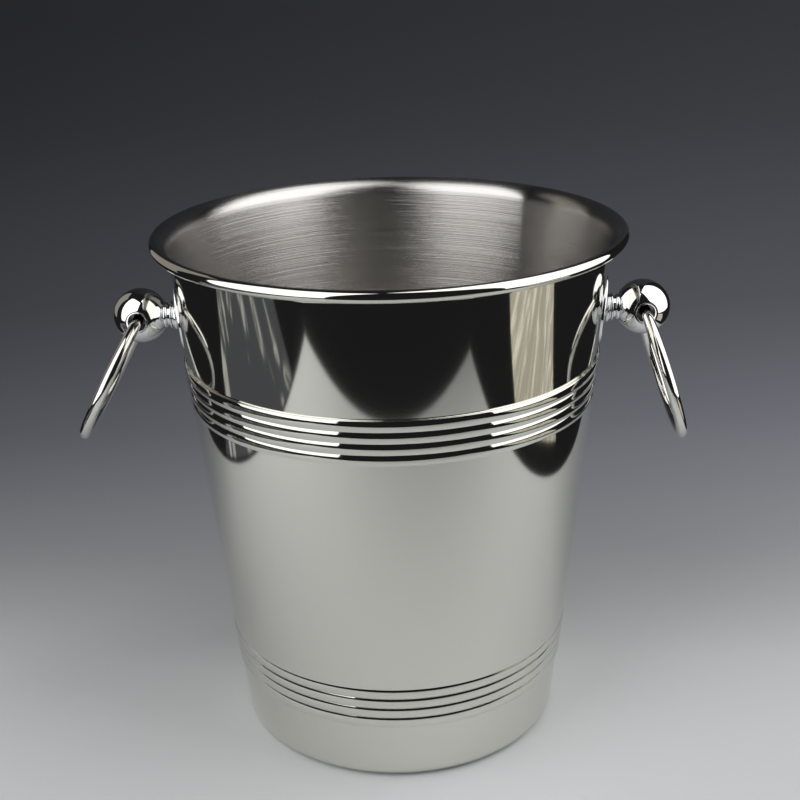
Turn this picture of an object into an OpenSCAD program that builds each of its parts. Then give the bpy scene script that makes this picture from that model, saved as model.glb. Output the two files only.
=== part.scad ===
// Champagne and ice bucket: one tapered pressed shell with a rolled rim and two
// bands of beads, and two ring handles hung in cross-bored ball knobs.
// Z is up, the base stands on Z = 0 and the knobs point along X.

/* [Shell] */
// Height from the base to the top of the rim
bucket_h = 244; // [238:1:250]
// Radius that the lower wall would have at the base, with no corner
base_r = 76.9; // [75:0.1:79]
// Taper of the lower wall
wall_taper = 6.06; // [5.8:0.02:6.3]
// Taper of the upper wall, above the upper bead band
upper_taper = 5.5; // [5.2:0.1:5.8]
// Step in from the lower wall to the upper wall
shoulder_step = 1.25; // [1:0.05:1.4]
// Thickness of the steel sheet
sheet_t = 0.8; // [0.6:0.1:1]
// Outside radius of the base corner
corner_r = 5.5; // [4:0.5:8]

/* [Rim] */
// Outside radius of the flare under the rim
flare_r = 8; // [7:0.5:9]
// Outside radius of the rolled edge
curl_r = 2.6; // [2.3:0.1:2.8]
// Angle short of level at which the flare turns into the rolled edge
lip_tilt = 25; // [20:1:30]

/* [Bead bands] */
// Beads in each band
bead_count = 4; // [3:1:4]
// Distance between neighbouring beads
bead_pitch = 5.3; // [5.2:0.05:5.5]
// Radius of an upper bead's round face
upper_bead_r = 6.8; // [6.4:0.1:7.2]
// Radius of a lower bead's round face
lower_bead_r = 5.2; // [5:0.1:5.6]
// Radius of the hollow blend above and below a band
blend_r = 1; // [0.8:0.1:1.5]
// Height of the top bead of the upper band
upper_band_z = 183.8; // [182:0.2:183.8]
// Height of the top bead of the lower band
lower_band_z = 48.1; // [46:0.1:52]
// How far the upper beads stand out from the lower wall
upper_rise = 0.3; // [0.25:0.05:0.4]
// How far the lower beads stand out from the lower wall
lower_rise = 0.72; // [0.65:0.01:0.8]

/* [Knobs] */
// Height of the knobs' axis
knob_z = 203.2; // [203:0.2:206]
// Distance from the wall to the ball's centre
knob_reach = 19.4; // [19:0.1:20]
// Ball diameter
ball_d = 25.4; // [25:0.1:26]
// Diameter of the cross bore that holds the ring
cross_bore_d = 7.8; // [7.7:0.1:8.2]
// Radius of the rounded mouths of the cross bore
mouth_r = 1.2; // [1:0.1:1.4]
// Diameter of the escutcheon on the wall
escutcheon_d = 33; // [31:0.5:33]

/* [Rings] */
// Radius of a ring at the middle of its wire
ring_r = 32.5; // [31.5:0.1:33.5]
// Wire diameter
wire_d = 5.2; // [5:0.1:5.2]
// Outward lean of the left ring at rest
left_lean = 28.4; // [10:0.2:30]
// Outward lean of the right ring at rest
right_lean = 17.8; // [10:0.2:30]

/* [Fixings] */
// Thread diameter of the knob screws
screw_d = 3.5; // [3.2:0.1:3.5]
// Length of the screws under the head
screw_len = 16; // [15:0.5:16]
// Diameter of the screw heads
head_d = 7.2; // [6.8:0.1:7.6]

/* [Hidden] */
$fn = 96;

left = -1;
right = 1;
eps = 0.01;
steel = "silver";
chrome = "gainsboro";

// Wall lines, seen as a section with the radius along x and the height along y
shoulder_z = upper_band_z + bead_pitch / 2;
shoulder_r = base_r + tan(wall_taper) * shoulder_z - shoulder_step;
function lower_wall_r(z) = base_r + tan(wall_taper) * z;
function upper_wall_r(z) = shoulder_r + tan(upper_taper) * (z - shoulder_z);

// Centre of the flare's arc, and of the rolled edge that the arc runs into
lip_reach = flare_r + sheet_t - curl_r;
flare_z = bucket_h - curl_r - lip_reach * cos(lip_tilt);
flare_x = upper_wall_r(flare_z) + flare_r / cos(upper_taper);
curl_x = flare_x - lip_reach * sin(lip_tilt);
curl_z = bucket_h - curl_r;
// The rolled edge stops short of closing on the flare
curl_open = 100;
overlap_angle = 2;

// An arc that runs into a straight face bites this far past it, so they cross cleanly
arc_bite = 0.02;

// Knob parts along the knob's axis, measured from the ball's centre
ball_r = ball_d / 2;
wall_x = upper_wall_r(knob_z);
ball_x = wall_x + knob_reach;
seat_h = 3.35;
seat_s = seat_h - knob_reach;
collar_len = 2;
collar_s = seat_s + collar_len;
neck_r = 5;
neck_bead_r = 1.3;
neck_bead_s = -11.6;
neck_bead_out = 5.9;
tapped_depth = 8;
screw_gap = 0.06;
wall_hole_gap = 0.2;
flange_t = 1.2;
// The escutcheon stands this far off the shell, so that their faces don't overlap
seat_gap = 0.03;
seal_t = 1.5;
seal_r = 6;
washer_t = 0.8;
washer_r = 5.2;
head_h = 2.5;
recess_w = 0.8;
recess_len = 3.8;
recess_depth = 1.4;

// The wire bows in the cross bore, so half its bow goes above the hinge axis
bore_half = ball_r - mouth_r;
ring_hang = (ring_r - sqrt(ring_r * ring_r - bore_half * bore_half)) / 2;

// ---- Section of the shell ----

// A round bead seen in section, its face standing rise out from the wall line
module bead_face(z, rise, face_r, inset) {
    translate([lower_wall_r(z), z])
        rotate(-wall_taper)
            translate([rise - face_r, 0])
                circle(face_r - inset);
}

// The hollow blend from the end bead of a band (way = 1 up, -1 down) to the lower wall
module bead_blend(z, rise, face_r, inset, way) {
    run = sqrt(pow(face_r + blend_r, 2) - pow(blend_r + face_r - rise, 2));
    share = (face_r - inset) / (face_r + blend_r);
    touch_x = rise - face_r + (blend_r + face_r - rise) * share;
    touch_y = run * share;
    translate([lower_wall_r(z), z])
        rotate(-wall_taper)
            scale([1, way])
                difference() {
                    polygon([
                        [touch_x, touch_y],
                        [touch_x, run],
                        [-inset - 0.5, run],
                        [-inset - 0.5, touch_y]
                    ]);
                    translate([blend_r - arc_bite, run])
                        circle(blend_r + inset);
                }
}

// The beads of one band
module band_faces(top_z, rise, face_r, inset) {
    for (i = [0 : bead_count - 1])
        bead_face(top_z - i * bead_pitch, rise, face_r, inset);
}

// Everything inside the shell's outer face, or its inner face with inset = sheet_t,
// filled in to the axis and cut off where the flare begins. The upper band stops
// at a ledge, where the sheet steps in to the foot of the upper wall
module filled_section(inset) {
    lower_in = inset / cos(wall_taper);
    upper_in = inset / cos(upper_taper);
    corner_x = base_r + tan(wall_taper) * corner_r - corner_r / cos(wall_taper);
    band_foot_z = upper_band_z - (bead_count - 1) * bead_pitch;
    lower_foot_z = lower_band_z - (bead_count - 1) * bead_pitch;
    flare_foot = [
        flare_x - (flare_r + inset) * cos(upper_taper),
        flare_z + (flare_r + inset) * sin(upper_taper)
    ];
    polygon([
        [0, inset],
        [corner_x + arc_bite, inset],
        [corner_x + arc_bite, corner_r],
        [
            corner_x + (corner_r - inset) * cos(wall_taper),
            corner_r - (corner_r - inset) * sin(wall_taper)
        ],
        [lower_wall_r(band_foot_z) - lower_in, band_foot_z],
        [upper_wall_r(band_foot_z) - upper_in, band_foot_z],
        flare_foot,
        [0, flare_foot[1]]
    ]);
    translate([corner_x + arc_bite, corner_r])
        circle(corner_r - inset);
    intersection() {
        band_faces(upper_band_z, upper_rise, upper_bead_r, inset);
        square([bucket_h, shoulder_z - inset]);
    }
    band_faces(lower_band_z, lower_rise, lower_bead_r, inset);
    bead_blend(band_foot_z, upper_rise, upper_bead_r, inset, -1);
    bead_blend(lower_band_z, lower_rise, lower_bead_r, inset, 1);
    bead_blend(lower_foot_z, lower_rise, lower_bead_r, inset, -1);
}

// A length of sheet bent to an arc between two directions in degrees
module bent_sheet(outer, from_angle, to_angle) {
    far = 3 * outer;
    mid_angle = (from_angle + to_angle) / 2;
    difference() {
        circle(outer);
        circle(outer - sheet_t);
        polygon([
            [0, 0],
            far * [cos(from_angle), sin(from_angle)],
            far * [cos(mid_angle + 240), sin(mid_angle + 240)],
            far * [cos(mid_angle + 180), sin(mid_angle + 180)],
            far * [cos(mid_angle + 120), sin(mid_angle + 120)],
            far * [cos(to_angle), sin(to_angle)]
        ]);
    }
}

module shell_section() {
    difference() {
        filled_section(0);
        filled_section(sheet_t);
    }
    translate([flare_x, flare_z])
        bent_sheet(
            flare_r + sheet_t,
            90 + lip_tilt - overlap_angle,
            180 - upper_taper + overlap_angle
        );
    translate([curl_x, curl_z])
        bent_sheet(curl_r, curl_open - 270, 90 + lip_tilt);
}

// ---- Knob parts, built along z with the ball's centre at the origin ----

// Moves a knob part onto the right knob's axis, and mirrors it for the left
module on_knob_axis(side) {
    mirror([side < 0 ? 1 : 0, 0, 0])
        translate([ball_x, 0, knob_z])
            rotate([0, 90, 0])
                children();
}

// The upper wall as a solid cone, grown outward by grow
module wall_cone(grow) {
    reach = 40;
    out = grow / cos(upper_taper);
    translate([0, 0, knob_z - reach])
        cylinder(
            h = 2 * reach,
            r1 = upper_wall_r(knob_z - reach) + out,
            r2 = upper_wall_r(knob_z + reach) + out,
            $fn = 360
        );
}

// A disc that lies across the right wall, square to it
module wall_disc(r, depth) {
    translate([wall_x, 0, knob_z])
        rotate([0, 90 + upper_taper, 0])
            translate([0, 0, -depth])
                cylinder(h = 2 * depth, r = r);
}

module screw_clearance(gap) {
    on_knob_axis(right)
        translate([0, 0, -2 * knob_reach])
            cylinder(h = 2 * knob_reach, d = screw_d + 2 * gap);
}

// Removes what a rounded mouth takes off the ball round one end of the cross bore
module bore_mouth() {
    bore_r = cross_bore_d / 2;
    round_x = bore_r + mouth_r;
    round_y = sqrt(pow(ball_r - mouth_r, 2) - round_x * round_x);
    grow = ball_r / (ball_r - mouth_r);
    rotate_extrude()
        difference() {
            polygon([
                [0, round_y],
                [round_x, round_y],
                [round_x * grow, round_y * grow],
                [round_x * grow, ball_r + mouth_r],
                [0, ball_r + mouth_r]
            ]);
            translate([round_x, round_y])
                circle(mouth_r);
        }
}

// ---- Sub-parts ----

module bucket_body() {
    color(steel)
        difference() {
            rotate_extrude($fn = 180)
                shell_section();
            for (side = [left, right])
                mirror([side < 0 ? 1 : 0, 0, 0])
                    screw_clearance(wall_hole_gap);
        }
}

module escutcheon(side) {
    bell_r = 14.5;
    bell_h = 2.6;
    bell_top_r = 7.2;
    boss_r = 6.6;
    color(chrome)
        mirror([side < 0 ? 1 : 0, 0, 0])
            difference() {
                union() {
                    intersection() {
                        wall_cone(flange_t);
                        wall_disc(escutcheon_d / 2, 4);
                    }
                    translate([wall_x, 0, knob_z])
                        rotate([0, 90 + upper_taper, 0])
                            translate([0, 0, -1])
                                union() {
                                    cylinder(h = 1 + eps, r = bell_r);
                                    translate([0, 0, 1])
                                        cylinder(h = bell_h, r1 = bell_r, r2 = bell_top_r);
                                }
                    translate([wall_x, 0, knob_z])
                        rotate([0, 90, 0])
                            cylinder(h = seat_h, r = boss_r);
                }
                wall_cone(seat_gap);
                screw_clearance(wall_hole_gap);
            }
}

// Turned ring between the escutcheon and the knob: a bead and a thin fin
module neck_collar(side) {
    fin_t = 0.8;
    fin_r = 6.4;
    collar_bead_r = (collar_len - fin_t) / 2;
    color(chrome)
        on_knob_axis(side)
            difference() {
                union() {
                    translate([0, 0, seat_s])
                        cylinder(h = collar_len, r = neck_r);
                    translate([0, 0, seat_s + collar_bead_r])
                        rotate_extrude()
                            union() {
                                translate([neck_r + 0.4, 0])
                                    circle(collar_bead_r, $fn = 32);
                                translate([neck_r - 0.5, -collar_bead_r])
                                    square([0.9, 2 * collar_bead_r]);
                            }
                    translate([0, 0, collar_s - fin_t / 2])
                        rotate_extrude()
                            union() {
                                translate([fin_r - fin_t / 2, 0])
                                    circle(fin_t / 2, $fn = 32);
                                translate([neck_r - 0.5, -fin_t / 2])
                                    square([fin_r - fin_t / 2 - neck_r + 0.5, fin_t]);
                            }
                }
                translate([0, 0, -2 * knob_reach])
                    cylinder(h = 2 * knob_reach, d = screw_d + 2 * wall_hole_gap);
            }
}

// Ball with a beaded neck, tapped for the screw and bored across for the ring
module ball_knob(side) {
    color(chrome)
        on_knob_axis(side)
            difference() {
                union() {
                    sphere(r = ball_r);
                    translate([0, 0, collar_s])
                        cylinder(h = -collar_s, r = neck_r);
                    translate([0, 0, neck_bead_s])
                        rotate_extrude()
                            translate([neck_bead_out - neck_bead_r, 0])
                                circle(neck_bead_r, $fn = 48);
                }
                translate([0, 0, collar_s - 1])
                    cylinder(h = tapped_depth + 1, d = screw_d);
                rotate([90, 0, 0])
                    cylinder(h = 2 * ball_d, d = cross_bore_d, center = true);
                for (turn = [-90, 90])
                    rotate([turn, 0, 0])
                        bore_mouth();
            }
}

// Closed ring of round wire, hung from the cross bore
module handle_ring(side, lean) {
    color(steel)
        mirror([side < 0 ? 1 : 0, 0, 0])
            translate([ball_x, 0, knob_z])
                rotate([0, -lean, 0])
                    translate([0, 0, ring_hang - ring_r])
                        rotate([0, 90, 0])
                            rotate_extrude()
                                translate([ring_r, 0])
                                    circle(d = wire_d, $fn = 48);
}

// Pan-head machine screw with a cross recess, put in from inside the bucket
module knob_screw(side) {
    under_head = -knob_reach - sheet_t - seal_t - washer_t;
    dome_r = 6.5;
    color(steel)
        on_knob_axis(side)
            translate([0, 0, under_head])
                difference() {
                    union() {
                        cylinder(h = screw_len, d = screw_d - 2 * screw_gap);
                        translate([0, 0, -head_h])
                            intersection() {
                                cylinder(h = head_h, d = head_d);
                                translate([0, 0, dome_r])
                                    sphere(r = dome_r);
                            }
                    }
                    for (turn = [0, 90])
                        translate([0, 0, -head_h])
                            rotate(turn)
                                cube([recess_len, recess_w, 2 * recess_depth], center = true);
                }
}

module knob_washer(side) {
    color(steel)
        on_knob_axis(side)
            translate([0, 0, -knob_reach - sheet_t - seal_t - washer_t])
                difference() {
                    cylinder(h = washer_t, r = washer_r);
                    translate([0, 0, -1])
                        cylinder(h = washer_t + 2, d = screw_d + 2 * wall_hole_gap);
                }
}

// Rubber ring that the washer squeezes against the sloping wall
module knob_seal(side) {
    color("dimgray")
        mirror([side < 0 ? 1 : 0, 0, 0])
            difference() {
                intersection() {
                    on_knob_axis(right)
                        translate([0, 0, -knob_reach - sheet_t - seal_t])
                            cylinder(h = 2 * seal_t, r = seal_r);
                    wall_cone(-sheet_t);
                }
                screw_clearance(wall_hole_gap);
            }
}

bucket_body();
escutcheon(left);  // left_escutcheon
neck_collar(left);  // left_neck_collar
ball_knob(left);  // left_ball_knob
handle_ring(left, left_lean);  // left_ring
knob_screw(left);  // left_screw
knob_washer(left);  // left_washer
knob_seal(left);  // left_seal
escutcheon(right);  // right_escutcheon
neck_collar(right);  // right_neck_collar
ball_knob(right);  // right_ball_knob
handle_ring(right, right_lean);  // right_ring
knob_screw(right);  // right_screw
knob_washer(right);  // right_washer
knob_seal(right);  // right_seal
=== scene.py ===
"""Looks of the champagne and ice bucket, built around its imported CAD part."""

import math

import bpy
from mathutils import Matrix, Vector


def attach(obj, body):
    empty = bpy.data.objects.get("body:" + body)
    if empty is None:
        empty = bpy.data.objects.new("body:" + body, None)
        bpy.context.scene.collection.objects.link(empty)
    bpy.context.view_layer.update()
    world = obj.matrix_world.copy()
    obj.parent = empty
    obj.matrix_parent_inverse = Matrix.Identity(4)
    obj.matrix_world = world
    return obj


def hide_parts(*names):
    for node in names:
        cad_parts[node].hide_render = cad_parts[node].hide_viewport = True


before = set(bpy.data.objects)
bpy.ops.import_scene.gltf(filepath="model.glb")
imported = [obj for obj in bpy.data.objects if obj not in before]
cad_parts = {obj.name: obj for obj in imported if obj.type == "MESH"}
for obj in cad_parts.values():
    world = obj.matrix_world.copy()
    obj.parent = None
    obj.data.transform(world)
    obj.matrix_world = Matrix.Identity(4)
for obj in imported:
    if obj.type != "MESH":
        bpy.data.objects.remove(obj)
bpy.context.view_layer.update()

MM = 0.001

# ---- Sizes of the part, the same as in its CAD source, in millimetres ----

BUCKET_H = 244
BASE_R = 76.9
WALL_TAPER = math.radians(6.06)
UPPER_TAPER = math.radians(5.5)
SHOULDER_STEP = 1.25
SHEET_T = 0.8
CORNER_R = 5.5

FLARE_R = 8
CURL_R = 2.6
# How far the flare still is from level at the lip, where the roll curls to, and where the polish stops
LIP_TILT = math.radians(25)
CURL_END = math.radians(-170)
CREST = math.radians(75)
# Keeps the round skins inside the faceted box of the CAD part
SHY = 0.012

BEAD_COUNT = 4
BEAD_PITCH = 5.3
UPPER_BEAD_R = 6.8
LOWER_BEAD_R = 5.2
BLEND_R = 1
LEDGE_EDGE_R = 0.35
LEDGE_FOOT_R = 0.4
UPPER_BAND_Z = 183.8
LOWER_BAND_Z = 48.1
UPPER_RISE = 0.3
LOWER_RISE = 0.72

KNOB_Z = 203.2
KNOB_REACH = 19.4
BALL_R = 12.7
CROSS_BORE_R = 3.9
MOUTH_R = 1.2
NECK_R = 5
NECK_EDGE = 0.15
NECK_IN_BALL = 2.6
NECK_BEAD_R = 1.3
# A place that ends in _S lies along the knob's axis, out from the ball's centre
NECK_BEAD_S = -11.6
NECK_BEAD_OUT = 5.9
TAPPED_DEPTH = 8
# How far a cutting tool reaches past the face it opens
OPEN_END = 1
SCREW_R = 1.75
SCREW_GAP = 0.2
SCREW_HOLE_R = SCREW_R + SCREW_GAP

SEAT_H = 3.35
FLANGE_R = 16.5
FLANGE_T = 1.2
FLANGE_EDGE_R = 0.55
BELL_FOOT_R = 14.5
BELL_TOP_R = 7.2
BELL_H = 2.6
BOSS_R = 6.6
BOSS_EDGE_R = 0.2
BOSS_FOOT = 0.01
COVE = 0.5
# How far the escutcheon's back stands off the wall
SEAT_GAP = 0.01

COLLAR_LEN = 2
COLLAR_OUT = 0.4
FIN_T = 0.8
FIN_R = 6.4

RING_R = 32.5
WIRE_R = 2.6
# How far each ring leans outward from plumb at rest
LEANS = {"left": math.radians(28.4), "right": math.radians(17.8)}
SIDES = {"left": -1, "right": 1}

# ---- Mesh fineness ----

AROUND = 288
AROUND_BALL = 160
AROUND_SMALL = 128
AROUND_ROD = 96
RING_STEPS, WIRE_STEPS = 256, 48
BELL_ROWS, EDGE_ROWS = 40, 6
# Rows of the escutcheon: on the seat, over the boss's edge as shares of its radius, and on the back
SEAT_ROW = 4.5
BOSS_ROWS = (1, 0.6, 0.2, 0)
BELL_START = 0.1
BACK_ROWS = (FLANGE_R, 12, 8, SCREW_HOLE_R)
ARC_STEP = math.radians(7.5)
BALL_STEP = math.radians(3)
MOUTH_STEP = math.radians(10)
# Rows of a straight stretch: the first this close to its ends, the others this far apart
GUARD = 0.12
ROW = 6
# Least radius left to the ledge's edge on the sheet's inner face
SHARPEST = 0.02
# Closer to the axis than this, a section's point is on it
ON_AXIS = 1e-9
# Faces that meet at more than this are shaded as an edge
CREASE = math.radians(35)
BELL_CREASE = math.radians(50)

SHOULDER_Z = UPPER_BAND_Z + BEAD_PITCH / 2
SHOULDER_R = BASE_R + math.tan(WALL_TAPER) * SHOULDER_Z - SHOULDER_STEP
WALL_X = SHOULDER_R + math.tan(UPPER_TAPER) * (KNOB_Z - SHOULDER_Z)
BALL_X = WALL_X + KNOB_REACH
SEAT_S = SEAT_H - KNOB_REACH
COLLAR_S = SEAT_S + COLLAR_LEN


# ---- Sections: lists of (radius, height) points in millimetres ----

def polar(centre, radius, angle):
    return (centre[0] + radius * math.cos(angle), centre[1] + radius * math.sin(angle))


def arc(centre, radius, start, end, step=ARC_STEP):
    """Points along an arc, both ends in it."""
    count = max(2, math.ceil(abs(end - start) / step))
    return [polar(centre, radius, start + (end - start) * i / count) for i in range(count + 1)]


def turn_marks(count):
    """Evenly spaced angles of one full turn."""
    return [math.tau * i / count for i in range(count)]


def straight(a, b):
    """Rows of points between a and b, close to both so that shading stays true at the arcs."""
    length = math.dist(a, b)
    count = max(1, round((length - 2 * GUARD) / ROW))
    marks = [GUARD + (length - 2 * GUARD) * i / count for i in range(count + 1)]
    return [
        (a[0] + (b[0] - a[0]) * m / length, a[1] + (b[1] - a[1]) * m / length)
        for m in marks
    ]


class Wall:
    """A straight stretch of the wall's outer face: its foot, the way up it and the way out of it."""

    def __init__(self, radius, z, taper):
        self.foot = Vector((radius, z))
        self.up = Vector((math.sin(taper), math.cos(taper)))
        self.out = Vector((math.cos(taper), -math.sin(taper)))


LOWER_WALL = Wall(BASE_R, 0, WALL_TAPER)
UPPER_WALL = Wall(SHOULDER_R, SHOULDER_Z, UPPER_TAPER)


def bead_centre(z, rise, bead_r):
    """Centre of a bead's face at height z, whose crown stands by rise out of the lower wall's line."""
    on_wall = Vector((BASE_R + math.tan(WALL_TAPER) * z, z))
    return on_wall + LOWER_WALL.out * (rise - bead_r)


def blend_centre(bead, bead_r, way):
    """Centre of the hollow blend that touches a bead and the lower wall, above (way = 1) or below it."""
    reach = bead_r + BLEND_R
    off = LOWER_WALL.foot + LOWER_WALL.out * BLEND_R - bead
    along = off.dot(LOWER_WALL.up)
    climb = way * math.sqrt(along**2 - off.length_squared + reach**2) - along
    return bead + off + LOWER_WALL.up * climb


def direction(a, b):
    """Angle of the line from a to b."""
    return math.atan2(b[1] - a[1], b[0] - a[0])


def blend(bead, bead_r, way, inset):
    """The blend's arc from the bead to the wall."""
    centre = blend_centre(bead, bead_r, way)
    at_bead = direction(centre, bead) % math.tau
    at_wall = math.pi - WALL_TAPER
    return arc(centre, BLEND_R + inset, at_bead, at_wall)


def ledge(bead, inset):
    """The angle where the top bead's arc ends, then its rounded edge and the step in to the upper wall."""
    top = SHOULDER_Z - inset
    edge_r = max(LEDGE_EDGE_R - inset, SHARPEST)
    turn = math.asin((top - edge_r - bead[1]) / (UPPER_BEAD_R - inset - edge_r))
    edge = polar(bead, UPPER_BEAD_R - inset - edge_r, turn)
    foot_z = SHOULDER_Z + LEDGE_FOOT_R
    wall_r = SHOULDER_R + math.tan(UPPER_TAPER) * LEDGE_FOOT_R
    foot_r = wall_r + LEDGE_FOOT_R / math.cos(UPPER_TAPER)
    foot = arc((foot_r, foot_z), LEDGE_FOOT_R + inset, 1.5 * math.pi, math.pi - UPPER_TAPER)
    return turn, arc(edge, edge_r, turn, math.pi / 2)[1:] + foot


def band(top_z, rise, bead_r, stepped, inset):
    """A band of beads, from the wall below it to the wall above it or to the step under the upper wall."""
    heights = [top_z - i * BEAD_PITCH for i in reversed(range(BEAD_COUNT))]
    centres = [bead_centre(z, rise, bead_r) for z in heights]
    radius = bead_r - inset
    half = math.asin((centres[1] - centres[0]).length / 2 / radius)
    first = direction(centres[0], blend_centre(centres[0], bead_r, -1))
    if stepped:
        last, head = ledge(centres[-1], inset)
    else:
        last = direction(centres[-1], blend_centre(centres[-1], bead_r, 1))
        head = blend(centres[-1], bead_r, 1, inset)[1:]
    points = list(reversed(blend(centres[0], bead_r, -1, inset)))
    for i, centre in enumerate(centres):
        start = first if i == 0 else -WALL_TAPER - half
        end = last if i == BEAD_COUNT - 1 else -WALL_TAPER + half
        points += arc(centre, radius, start, end)[1:]
    return points + head


def lip():
    """Centres of the flare's arc and of the rolled edge."""
    reach = FLARE_R + SHEET_T - CURL_R
    flare_z = BUCKET_H - CURL_R - reach * math.cos(LIP_TILT)
    wall_r = SHOULDER_R + math.tan(UPPER_TAPER) * (flare_z - SHOULDER_Z)
    flare = (wall_r + FLARE_R / math.cos(UPPER_TAPER), flare_z)
    return flare, (flare[0] - reach * math.sin(LIP_TILT), BUCKET_H - CURL_R)


def skin(inset):
    """One face of the sheet, from the middle of the base up to where the flare begins."""
    corner_x = BASE_R + math.tan(WALL_TAPER) * CORNER_R - CORNER_R / math.cos(WALL_TAPER)
    flare, _ = lip()
    corner = arc((corner_x, CORNER_R), CORNER_R - inset, -math.pi / 2, -WALL_TAPER)
    low = band(LOWER_BAND_Z, LOWER_RISE, LOWER_BEAD_R, False, inset)
    high = band(UPPER_BAND_Z, UPPER_RISE, UPPER_BEAD_R, True, inset)
    foot = polar(flare, FLARE_R + inset, math.pi - UPPER_TAPER)
    floor = straight((0, inset), corner[0])[1:]
    return (
        [(0, inset)] + floor + corner + straight(corner[-1], low[0]) + low
        + straight(low[-1], high[0]) + high + straight(high[-1], foot)
    )


def rim():
    """The flare and the rolled edge: out along the outer face and over the roll, then back down inside."""
    flare, curl = lip()
    turn = math.pi / 2 + LIP_TILT
    start = math.pi - UPPER_TAPER
    over = (
        arc(flare, FLARE_R, start, turn)
        + arc(curl, CURL_R - SHEET_T, turn, CURL_END)[1:]
        + arc(curl, CURL_R - SHY, CURL_END, CREST)
    )
    return over, arc(curl, CURL_R - SHY, CREST, turn)[1:-1] + arc(flare, FLARE_R + SHEET_T, turn, start)


# ---- Mesh builders ----

def mesh_object(name, vertices, faces, crease=CREASE):
    mesh = bpy.data.meshes.new(name)
    mesh.from_pydata(vertices, [], faces)
    mesh.validate()
    mesh.polygons.foreach_set("use_smooth", [True] * len(mesh.polygons))
    mesh.update()
    mesh.set_sharp_from_angle(angle=crease)
    obj = bpy.data.objects.new(name, mesh)
    bpy.context.scene.collection.objects.link(obj)
    return obj


def lathe(name, section, closed, count=AROUND, crease=CREASE):
    """Turns a section round Z. A point on the axis becomes one vertex; closed joins its ends."""
    vertices, rows = [], []
    for radius, height in section:
        if radius < ON_AXIS:
            rows.append([len(vertices)] * count)
            vertices.append((0, 0, height * MM))
            continue
        rows.append(list(range(len(vertices), len(vertices) + count)))
        for angle in turn_marks(count):
            x, y = polar((0, 0), radius, angle)
            vertices.append((x * MM, y * MM, height * MM))
    pairs = list(zip(rows, rows[1:])) + ([(rows[-1], rows[0])] if closed else [])
    faces = []
    for low, high in pairs:
        for i in range(count):
            j = (i + 1) % count
            corners = [low[i], low[j], high[j], high[i]]
            faces.append([v for k, v in enumerate(corners) if v != corners[k - 1]])
    return mesh_object(name, vertices, faces, crease)


def grid_tube(name, rings, crease=CREASE):
    """A closed skin over rings of points that close on themselves, the last ring joined to the first."""
    count = len(rings[0])
    vertices = [p for ring in rings for p in ring]
    faces = [
        [r * count + i, r * count + (i + 1) % count, s * count + (i + 1) % count, s * count + i]
        for r, s in ((r, (r + 1) % len(rings)) for r in range(len(rings)))
        for i in range(count)
    ]
    return mesh_object(name, vertices, faces, crease)


def place(obj, matrix):
    """Moves the mesh itself, so that the object stays at the origin."""
    obj.data.transform(matrix)
    obj.data.update()


def knob_axis(side):
    """Puts a part built along Z, the ball's centre at the origin, onto a knob's axis."""
    turn = Matrix.Rotation(math.pi / 2, 4, "Y")
    right = Matrix.Translation((BALL_X * MM, 0, KNOB_Z * MM)) @ turn
    if side > 0:
        return right
    return Matrix.Rotation(math.pi, 4, "Z") @ right


def cut(obj, tool, operation):
    """Adds a tool to a mesh or takes it away, and drops the tool."""
    modifier = obj.modifiers.new("cut", "BOOLEAN")
    modifier.operation, modifier.object, modifier.solver = operation, tool, "EXACT"
    shaped = bpy.data.meshes.new_from_object(obj.evaluated_get(bpy.context.evaluated_depsgraph_get()))
    obj.modifiers.clear()
    obj.data = shaped
    shaped.set_sharp_from_angle(angle=CREASE)
    bpy.data.objects.remove(tool)


def rod(radius, low, high):
    """A plain closed cylinder, only ever used to cut a hole."""
    return lathe("rod", [(0, low), (radius, low), (radius, high), (0, high)], False, AROUND_ROD)


# ---- Pieces ----

def shell(polish, brush):
    """The whole pressed sheet, polished outside and brushed from the crest of the roll inward."""
    outside, (over, down) = skin(0), rim()
    polished = outside + over
    obj = lathe("bucket_shell", polished + down + list(reversed(skin(SHEET_T))), False)
    for material in (polish, brush):
        obj.data.materials.append(material)
    # One vertex on the axis comes first, then a ring of them for each point
    brushed_from = 1 + AROUND * (len(polished) - 2)
    for polygon in obj.data.polygons:
        polygon.material_index = int(min(polygon.vertices) >= brushed_from)
    for side in SIDES.values():
        hole = rod(SCREW_HOLE_R, -2 * KNOB_REACH, 0)
        place(hole, knob_axis(side))
        cut(obj, hole, "DIFFERENCE")
    return obj


def ring(name, side, lean):
    """A closed torus of wire that hangs through its knob's bore, leaning outward from plumb."""
    # The wire bows across the bore, so its middle lies as far above the bore's axis as its ends lie below
    bow = math.sqrt(RING_R**2 - (BALL_R - MOUTH_R) ** 2)
    hang = (RING_R + bow) / 2
    out = Vector((side * math.sin(lean), 0, -math.cos(lean)))
    across = Vector((0, 1, 0))
    thick = out.cross(across)
    wire_r = WIRE_R - SHY
    centre = Vector((side * BALL_X, 0, KNOB_Z)) + out * hang
    rings = []
    for a in turn_marks(RING_STEPS):
        spoke = out * math.cos(a) + across * math.sin(a)
        rings.append([
            (centre + spoke * (RING_R + wire_r * math.cos(b)) + thick * wire_r * math.sin(b)) * MM
            for b in turn_marks(WIRE_STEPS)
        ])
    return grid_tube(name, rings)


def neck():
    """The beaded stem, from the collar into the ball."""
    bead = (NECK_BEAD_OUT - NECK_BEAD_R, NECK_BEAD_S)
    dip = math.acos((NECK_R - bead[0]) / NECK_BEAD_R)
    end = NECK_IN_BALL - math.sqrt(BALL_R**2 - NECK_R**2)
    section = (
        [(0, COLLAR_S), (NECK_R - NECK_EDGE, COLLAR_S), (NECK_R, COLLAR_S + NECK_EDGE)]
        + arc(bead, NECK_BEAD_R, -dip, dip)
        + [(NECK_R, end), (0, end)]
    )
    return lathe("neck", section, False, AROUND_SMALL)


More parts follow.
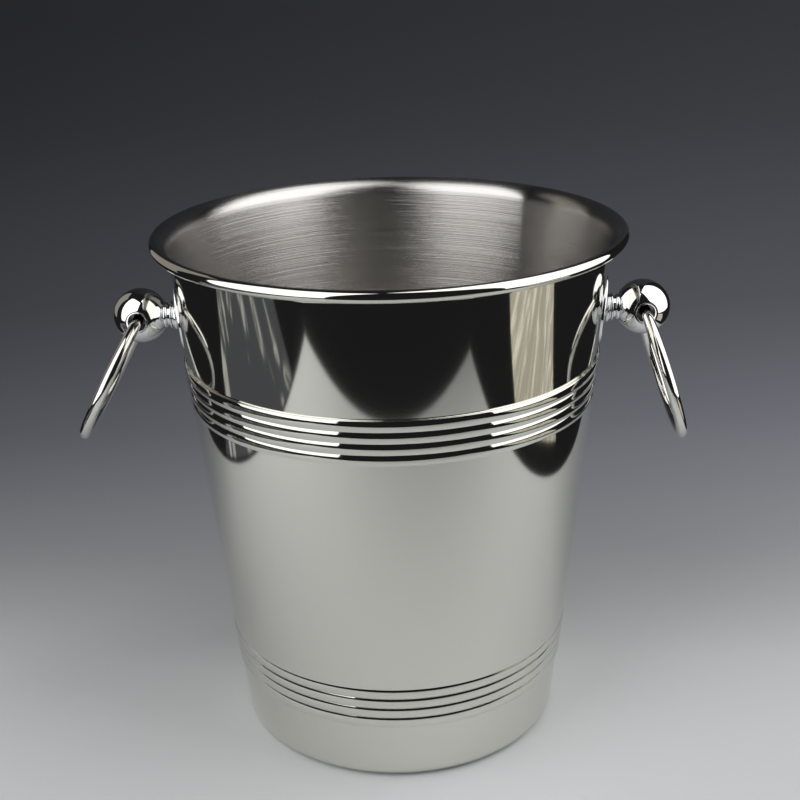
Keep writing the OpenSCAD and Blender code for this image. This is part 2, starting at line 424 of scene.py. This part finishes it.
def ball(name, side):
    """A ball bored across with rounded mouths, joined to its beaded neck and tapped for its screw."""
    round_x = CROSS_BORE_R + MOUTH_R
    round_y = math.sqrt((BALL_R - MOUTH_R) ** 2 - round_x**2)
    lean = math.atan2(round_y, round_x)
    top = arc((round_x, round_y), MOUTH_R, math.pi, lean, MOUTH_STEP)
    face = arc((0, 0), BALL_R, lean, -lean, BALL_STEP)[1:-1]
    bottom = [(r, -z) for r, z in reversed(top)]
    obj = lathe(name, top + face + bottom, True, AROUND_BALL)
    place(obj, Matrix.Rotation(math.pi / 2, 4, "X"))
    cut(obj, neck(), "UNION")
    cut(obj, rod(SCREW_R, COLLAR_S - OPEN_END, COLLAR_S + TAPPED_DEPTH), "DIFFERENCE")
    place(obj, knob_axis(side))
    return obj


def collar(name, side):
    """The turned ring between the escutcheon and the knob: a bead and a thin fin."""
    bead_r = (COLLAR_LEN - FIN_T) / 2
    bead = (NECK_R + COLLAR_OUT, SEAT_S + bead_r)
    fin = (FIN_R - FIN_T / 2, COLLAR_S - FIN_T / 2)
    section = (
        [(SCREW_HOLE_R, SEAT_S)]
        + arc(bead, bead_r, -math.pi / 2, math.pi / 2)
        + arc(fin, FIN_T / 2, -math.pi / 2, math.pi / 2)
        + [(SCREW_HOLE_R, COLLAR_S)]
    )
    obj = lathe(name, section, True, AROUND_SMALL)
    place(obj, knob_axis(side))
    return obj


def soft_max(a, b, width):
    """The larger of two heights, with a cove where they meet."""
    gap = max(width - abs(a - b), 0) / width
    return max(a, b) + gap * gap * width / 4


def wall_drop(y):
    """How far the round wall has fallen back, this far to the side of the knob's axis."""
    round_wall = WALL_X / math.cos(UPPER_TAPER)
    return round_wall - math.sqrt(round_wall**2 - y * y)


def edge_drop(rho, edge_rho, radius):
    """How far a rounded edge that ends at edge_rho has dropped at rho."""
    over = max(rho - (edge_rho - radius), 0)
    return radius - math.sqrt(max(radius**2 - over**2, 0))


def bell_face(rho, y, v):
    """Height of the escutcheon's face over the wall, rho from its axis, y across and v up the wall."""
    if rho <= BOSS_R:
        seat = (SEAT_H - v * math.sin(UPPER_TAPER)) / math.cos(UPPER_TAPER)
        return seat - edge_drop(rho, BOSS_R, BOSS_EDGE_R)
    flange = FLANGE_T - wall_drop(y) - edge_drop(rho, FLANGE_R, FLANGE_EDGE_R)
    bell = (BELL_FOOT_R - max(rho, BELL_TOP_R)) * BELL_H / (BELL_FOOT_R - BELL_TOP_R)
    return soft_max(flange, bell, COVE)


def bell_rows():
    """Distances from the escutcheon's axis at which its face has a ring of points."""
    boss = [BOSS_R - BOSS_EDGE_R * share for share in BOSS_ROWS]
    span = FLANGE_R - FLANGE_EDGE_R - BELL_TOP_R
    bell = [BELL_TOP_R - BELL_START + span * i / BELL_ROWS for i in range(BELL_ROWS)]
    turns = [math.pi / 2 * i / EDGE_ROWS for i in range(EDGE_ROWS + 1)]
    edge = [FLANGE_R - FLANGE_EDGE_R * (1 - math.sin(turn)) for turn in turns]
    return [SCREW_HOLE_R, SEAT_ROW] + boss + [BOSS_R + BOSS_FOOT] + bell + edge


def escutcheon(name, side):
    """A flanged disc that follows the wall and rises as a bell to the knob's seat."""
    foot = Vector((WALL_X, KNOB_Z))
    rings = []
    for rho, back in [(r, False) for r in bell_rows()] + [(r, True) for r in BACK_ROWS]:
        points = []
        for a in turn_marks(AROUND_SMALL):
            y, v = polar((0, 0), rho, a)
            height = SEAT_GAP - wall_drop(y) if back else bell_face(rho, y, v)
            flat = foot + UPPER_WALL.up * v + UPPER_WALL.out * height
            points.append(Vector((flat[0], y, flat[1])) * MM)
        rings.append(points)
    obj = grid_tube(name, rings, BELL_CREASE)
    if side < 0:
        place(obj, Matrix.Rotation(math.pi, 4, "Z"))
    return obj


# ---- Materials ----

# A quarter turn of the anisotropy, which draws the shine out up and down the wall
UPRIGHT = 0.25
POLISHED = (0.74, 0.735, 0.675)
BRUSHED = (0.64, 0.63, 0.61)
CHROME = (0.82, 0.825, 0.83)
WIRE_STEEL = (0.80, 0.785, 0.75)
FIXING_STEEL = (0.66, 0.655, 0.64)
RUBBER = (0.02, 0.02, 0.021)


def shader(name, color, roughness, metallic=1.0, **rest):
    """A Principled material, its node tree and its shader. An input's spaces are written as _ in rest."""
    material = bpy.data.materials.new(name)
    material.use_nodes = True
    bsdf = material.node_tree.nodes["Principled BSDF"]
    bsdf.inputs["Base Color"].default_value = (*color, 1)
    bsdf.inputs["Roughness"].default_value = roughness
    bsdf.inputs["Metallic"].default_value = metallic
    for key, value in rest.items():
        bsdf.inputs[key.replace("_", " ")].default_value = value
    return material, material.node_tree, bsdf


def node(tree, kind, **settings):
    made = tree.nodes.new(kind)
    for key, value in settings.items():
        setattr(made, key, value)
    return made


def link(tree, source, output, target, socket):
    tree.links.new(source.outputs[output], target.inputs[socket])


def stretched_noise(tree, scale, **amounts):
    """A noise over the object's own place, finer along the axes of larger scale."""
    where = node(tree, "ShaderNodeTexCoord")
    stretch = node(tree, "ShaderNodeMapping")
    stretch.inputs["Scale"].default_value = scale
    noise = node(tree, "ShaderNodeTexNoise")
    noise.inputs["Scale"].default_value = 1
    for key, value in amounts.items():
        noise.inputs[key].default_value = value
    link(tree, where, "Object", stretch, "Vector")
    link(tree, stretch, "Vector", noise, "Vector")
    return noise


def turned_lines(tree, bsdf, fine, strength, depth, around):
    """Fine lines left by turning: a noise squeezed along Z and stretched round the axis."""
    noise = stretched_noise(tree, (around, around, fine), Detail=3)
    bump = node(tree, "ShaderNodeBump")
    bump.inputs["Strength"].default_value = strength
    bump.inputs["Distance"].default_value = depth
    link(tree, noise, "Fac", bump, "Height")
    link(tree, bump, "Normal", bsdf, "Normal")


def round_tangent(tree, bsdf):
    tangent = node(tree, "ShaderNodeTangent", direction_type="RADIAL", axis="Z")
    link(tree, tangent, "Tangent", bsdf, "Tangent")


def polished_steel():
    material, tree, bsdf = shader(
        "polished_steel", POLISHED, roughness=0.055, Anisotropic=0.4, Anisotropic_Rotation=UPRIGHT
    )
    round_tangent(tree, bsdf)
    return material


def brushed_inside():
    material, tree, bsdf = shader(
        "brushed_inside", BRUSHED, roughness=0.17, Anisotropic=1.0, Anisotropic_Rotation=UPRIGHT
    )
    round_tangent(tree, bsdf)
    turned_lines(tree, bsdf, fine=3800, strength=0.5, depth=0.0002, around=4)
    return material


def knob_chrome():
    return shader("knob_chrome", CHROME, roughness=0.03)[0]


def ring_steel():
    return shader("ring_steel", WIRE_STEEL, roughness=0.06)[0]


def fixing_steel():
    material, tree, bsdf = shader("fixing_steel", FIXING_STEEL, roughness=0.3)
    turned_lines(tree, bsdf, fine=900, strength=0.1, depth=0.0001, around=900)
    return material


def seal_rubber():
    return shader("seal_rubber", RUBBER, roughness=0.6, metallic=0.0)[0]


def paint(obj, material):
    obj.data.materials.clear()
    obj.data.materials.append(material)


# ---- Stage, in metres ----

CAMERA_AT = Vector((0.015, -0.6006, 0.3893))
CAMERA_YAW = math.radians(-1.13)
CAMERA_DOWN = math.radians(21.01)
CAMERA_ROLL = math.radians(-1.38)
LENS, SENSOR = 60.75, 36
CLIP_NEAR, CLIP_FAR = 0.01, 50


def camera():
    """A camera that looks down on the part from just right of its front."""
    data = bpy.data.cameras.new("camera")
    data.lens, data.sensor_width = LENS, SENSOR
    data.clip_start, data.clip_end = CLIP_NEAR, CLIP_FAR
    obj = bpy.data.objects.new("camera", data)
    bpy.context.scene.collection.objects.link(obj)
    obj.matrix_world = (
        Matrix.Translation(CAMERA_AT)
        @ Matrix.Rotation(-CAMERA_YAW, 4, "Z")
        @ Matrix.Rotation(math.pi / 2 - CAMERA_DOWN, 4, "X")
        @ Matrix.Rotation(CAMERA_ROLL, 4, "Z")
    )
    bpy.context.scene.camera = obj


def glow_only(name):
    """A material that only glows, and its glow node."""
    material = bpy.data.materials.new(name)
    material.use_nodes = True
    tree = material.node_tree
    tree.nodes.clear()
    glow = node(tree, "ShaderNodeEmission")
    link(tree, glow, "Emission", node(tree, "ShaderNodeOutputMaterial"), "Surface")
    return material, glow


def card(name, corners, color, strength, diffuse=True):
    """A glowing flat card, mirrored by the steel and unseen by the camera. With diffuse it also lights."""
    obj = mesh_object(name, corners, [list(range(len(corners)))])
    material, glow = glow_only(name)
    glow.inputs["Color"].default_value = (*color, 1)
    glow.inputs["Strength"].default_value = strength
    obj.data.materials.append(material)
    obj.visible_camera = False
    obj.visible_diffuse = diffuse
    obj.visible_shadow = False
    return obj


SOFTBOX_WHITE = (1.0, 0.995, 0.99)
SOFTBOX_GLOW = 1.65
SOFTBOX_FAR = 0.57
# Corners of each softbox seen from the ball on its side, as shares of SOFTBOX_FAR
SOFTBOX_CORNERS = {
    "left": ((-1.04, -0.24, -0.19), (-0.25, -0.94, -0.21), (0.13, -0.56, 1.43), (-0.66, 0.14, 1.45)),
    "right": ((0.45, -0.56, -0.19), (0.90, 0.40, -0.17), (0.22, 0.57, 1.61), (-0.23, -0.39, 1.59)),
}


def softboxes():
    """Two softboxes that lean over the part from the left front and from the right."""
    for name, side in SIDES.items():
        ball_at = Vector((side * BALL_X, 0, KNOB_Z)) * MM
        corners = [ball_at + SOFTBOX_FAR * Vector(corner) for corner in SOFTBOX_CORNERS[name]]
        card(name + "_softbox", corners, SOFTBOX_WHITE, SOFTBOX_GLOW)


# The sheet runs from its front edge, which slants a little, to where it sweeps up into the backdrop
SHEET_LEFT, SHEET_RIGHT = -0.327, 0.300
SHEET_FRONT_LEFT, SHEET_FRONT_RIGHT = -0.389, -0.372
SHEET_BENDS, SHEET_BEND, SHEET_TOP = 0.15, 0.25, 1.2
BEND_ROWS = 12

# Painted light falloff of the sheet, darker the further it has gone back and up. Each stop gives how far
# back and up, its red, and blue over red
SHEET_PAINTED_FALLOFF = [
    (-0.40, 0.78, 1.04), (-0.10, 0.78, 1.05), (-0.03, 0.76, 1.05), (0.025, 0.71, 1.05), (0.09, 0.54, 1.05),
    (0.165, 0.385, 1.08), (0.24, 0.27, 1.14), (0.31, 0.188, 1.17), (0.385, 0.132, 1.18), (0.45, 0.096, 1.18),
    (0.52, 0.079, 1.2), (0.62, 0.052, 1.19), (0.70, 0.037, 1.16), (1.0, 0.03, 1.1), (1.6, 0.03, 1.1),
]
GREEN_OVER_RED = 1.025
# Painted light: how much brighter per metre the sheet gets towards +X, at two places along it
LEAN_FROM, LEAN_TO, LEAN_NEAR, LEAN_FAR = 0.05, 0.30, -0.25, 0.65


def sheet_rows():
    """(distance back, height) of each row of the sheet behind its front edge."""
    rows = [(SHEET_BENDS, 0)]
    for i in range(1, BEND_ROWS + 1):
        a = math.pi / 2 * i / BEND_ROWS
        rows.append((SHEET_BENDS + SHEET_BEND * math.sin(a), SHEET_BEND * (1 - math.cos(a))))
    return rows + [(SHEET_BENDS + SHEET_BEND, SHEET_TOP)]


def ramp_along(tree, value, stops):
    """A colour that follows stops of (value, colour)."""
    low, high = stops[0][0], stops[-1][0]
    span = node(tree, "ShaderNodeMapRange")
    span.inputs["From Min"].default_value, span.inputs["From Max"].default_value = low, high
    tree.links.new(value, span.inputs["Value"])
    shade = node(tree, "ShaderNodeValToRGB")
    ramp = shade.color_ramp
    while len(ramp.elements) > 1:
        ramp.elements.remove(ramp.elements[-1])
    for i, (at, color) in enumerate(stops):
        share = (at - low) / (high - low)
        stop = ramp.elements[0] if i == 0 else ramp.elements.new(share)
        stop.position, stop.color = share, (*color, 1)
    link(tree, span, "Result", shade, "Fac")
    return shade.outputs["Color"]


def sheet_painted_light(tree):
    """The sheet's colour with painted light: a ramp that darkens along its run, and a little brighter
    towards one side.
    """
    split = node(tree, "ShaderNodeSeparateXYZ")
    link(tree, node(tree, "ShaderNodeTexCoord"), "Object", split, "Vector")
    run = node(tree, "ShaderNodeMath", operation="ADD")
    tree.links.new(split.outputs["Y"], run.inputs[0])
    tree.links.new(split.outputs["Z"], run.inputs[1])
    shade = ramp_along(tree, run.outputs["Value"], [
        (at, (red, red * GREEN_OVER_RED, red * blue)) for at, red, blue in SHEET_PAINTED_FALLOFF
    ])
    # Painted light: the colour grows brighter towards +X
    lean = node(tree, "ShaderNodeMapRange")
    lean.inputs["From Min"].default_value = LEAN_FROM
    lean.inputs["From Max"].default_value = LEAN_TO
    lean.inputs["To Min"].default_value = LEAN_NEAR
    lean.inputs["To Max"].default_value = LEAN_FAR
    link(tree, run, "Value", lean, "Value")
    across = node(tree, "ShaderNodeMath", operation="MULTIPLY_ADD")
    tree.links.new(split.outputs["X"], across.inputs[0])
    tree.links.new(lean.outputs["Result"], across.inputs[1])
    across.inputs[2].default_value = 1
    tilted = node(tree, "ShaderNodeVectorMath", operation="SCALE")
    tree.links.new(shade, tilted.inputs[0])
    link(tree, across, "Value", tilted, "Scale")
    return tilted.outputs["Vector"]


def sheet_material():
    """Matt paper with painted light falloff in its colour, clear from its back."""
    material = bpy.data.materials.new("floor")
    material.use_nodes = True
    tree = material.node_tree
    bsdf = tree.nodes["Principled BSDF"]
    bsdf.inputs["Roughness"].default_value = 0.9
    bsdf.inputs["Specular IOR Level"].default_value = 0.0
    tree.links.new(sheet_painted_light(tree), bsdf.inputs["Base Color"])
    which = node(tree, "ShaderNodeMixShader")
    link(tree, node(tree, "ShaderNodeNewGeometry"), "Backfacing", which, "Fac")
    tree.links.new(bsdf.outputs["BSDF"], which.inputs[1])
    tree.links.new(node(tree, "ShaderNodeBsdfTransparent").outputs["BSDF"], which.inputs[2])
    link(tree, which, "Shader", tree.nodes["Material Output"], "Surface")
    return material


def floor():
    """A pale sheet in front that runs back and sweeps up as a backdrop, graded darker by painted light
    falloff.
    """
    points = [(SHEET_LEFT, SHEET_FRONT_LEFT, 0), (SHEET_RIGHT, SHEET_FRONT_RIGHT, 0)]
    for back, up in sheet_rows():
        points += [(SHEET_LEFT, back, up), (SHEET_RIGHT, back, up)]
    faces = [[k, k + 1, k + 3, k + 2] for k in range(0, len(points) - 2, 2)]
    obj = mesh_object("floor", points, faces, math.pi)
    obj.data.materials.append(sheet_material())


# Glowing cloth cards seen only in the steel: painted reflections, their folds dark and bright in painted
# light
LEFT_CLOTH = ((-0.65, -0.36, 0), (-0.335, -0.30, 0), (-0.335, 0.06, 0), (-0.65, 0.02, 0))
LEFT_CLOTH_DARK, LEFT_CLOTH_BRIGHT = (0.072, 0.074, 0.083), (0.5, 0.49, 0.46)
RIGHT_CLOTH = (
    (0.345, -0.15, 0), (0.44, -0.245, 0), (0.64, -0.42, 0), (0.64, -0.04, 0), (0.345, 0.035, 0),
)
RIGHT_CLOTH_DARK, RIGHT_CLOTH_BRIGHT = (0.44, 0.41, 0.34), (0.95, 0.90, 0.80)
# A glowing card seen only in the steel: a painted reflection of a lit wall at the back left
BACK_LEFT_WALL = ((-0.98, 0.30, 0.05), (-0.72, 0.90, 0.05), (-0.72, 0.90, 1.2), (-0.98, 0.30, 1.2))
BACK_LEFT_COLOR, BACK_LEFT_GLOW = (1.0, 0.93, 0.84), 0.28
# The folds' noise: how it twists, where it starts, and over how much of it a bright fold of painted light
# rises and falls
FOLD_TWIST = 0.6
FOLD_START, FOLD_RISE, FOLD_FALL = 0.30, 0.04, 0.05


def streaks(name, corners, low, high, count, wave, edge):
    """A glowing patch beside the sheet, a painted reflection that the steel mirrors as soft upright folds:
    streaks along X.
    """
    obj = card(name, corners, low, 1, diffuse=False)
    tree = obj.data.materials[0].node_tree
    noise = stretched_noise(tree, (wave, count, 1), Distortion=FOLD_TWIST)
    color = ramp_along(tree, noise.outputs["Fac"], [
        (FOLD_START, low), (edge - FOLD_RISE, low), (edge, high), (edge + FOLD_FALL, low),
    ])
    tree.links.new(color, tree.nodes["Emission"].inputs["Color"])


def surroundings():
    """What the steel mirrors past the sheet, as painted reflections on glowing cards: a cloth on either side
    and a wall at the back left.
    """
    streaks("left_cloth", LEFT_CLOTH, LEFT_CLOTH_DARK, LEFT_CLOTH_BRIGHT, count=30, wave=4, edge=0.62)
    streaks("right_cloth", RIGHT_CLOTH, RIGHT_CLOTH_DARK, RIGHT_CLOTH_BRIGHT, count=45, wave=3, edge=0.52)
    card("back_left_wall", BACK_LEFT_WALL, BACK_LEFT_COLOR, BACK_LEFT_GLOW, diffuse=False)


# The room past the sheet, in millimetres, and its glow by the distance from the part, darker further off:
# painted light falloff
ROOM_SECTION = ((0, -2), (300, -2), (1000, -2), (2000, -2), (2600, 150), (3000, 800), (3000, 3500))
ROOM_AROUND = 64
ROOM_PAINTED_FALLOFF = (
    (0, (0.42, 0.42, 0.43)),
    (0.35, (0.34, 0.34, 0.35)),
    (0.9, (0.13, 0.132, 0.145)),
    (2.0, (0.05, 0.051, 0.058)),
    (3.5, (0.03, 0.031, 0.035)),
)


def beyond():
    """What a camera on any other side sees past the sheet: a glowing floor, no lamp, whose painted light
    fades into a grey room.
    """
    obj = lathe("beyond", ROOM_SECTION, False, ROOM_AROUND)
    material, glow = glow_only("beyond")
    tree = material.node_tree
    far = node(tree, "ShaderNodeVectorMath", operation="LENGTH")
    tree.links.new(node(tree, "ShaderNodeTexCoord").outputs["Object"], far.inputs[0])
    tree.links.new(ramp_along(tree, far.outputs["Value"], ROOM_PAINTED_FALLOFF), glow.inputs["Color"])
    obj.data.materials.append(material)
    obj.visible_diffuse = obj.visible_glossy = obj.visible_transmission = obj.visible_shadow = False


ROOM_LIGHT, ROOM_GLOW = (0.92, 0.96, 1), 0.013


def room():
    """The faint light that comes from all round."""
    world = bpy.data.worlds.new("room")
    world.use_nodes = True
    background = world.node_tree.nodes["Background"]
    background.inputs["Color"].default_value = (*ROOM_LIGHT, 1)
    background.inputs["Strength"].default_value = ROOM_GLOW
    bpy.context.scene.world = world


# ---- Assembly ----

def side_pieces(name, side, chrome, wire, fixing, rubber):
    """One side's escutcheon, collar, knob and ring, and the looks of its CAD fixings."""
    for piece, made in (("escutcheon", escutcheon), ("neck_collar", collar), ("ball_knob", ball)):
        obj = made(f"{name}_{piece}_chrome", side)
        paint(obj, chrome)
        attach(obj, "bucket")
        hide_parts(f"{name}_{piece}")
    wire_ring = ring(name + "_ring_wire", side, LEANS[name])
    paint(wire_ring, wire)
    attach(wire_ring, name + "_handle")
    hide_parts(name + "_ring")
    for piece in ("screw", "washer"):
        paint(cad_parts[f"{name}_{piece}"], fixing)
    paint(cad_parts[f"{name}_seal"], rubber)


def build():
    """The finished pieces, each on its body, and the looks of the CAD nodes that stay."""
    body = shell(polished_steel(), brushed_inside())
    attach(body, "bucket")
    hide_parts("bucket_body")
    looks = knob_chrome(), ring_steel(), fixing_steel(), seal_rubber()
    for name, side in SIDES.items():
        side_pieces(name, side, *looks)


def main():
    build()
    camera()
    softboxes()
    surroundings()
    floor()
    beyond()
    room()
    scene = bpy.context.scene
    scene.view_settings.view_transform = "Standard"


main()
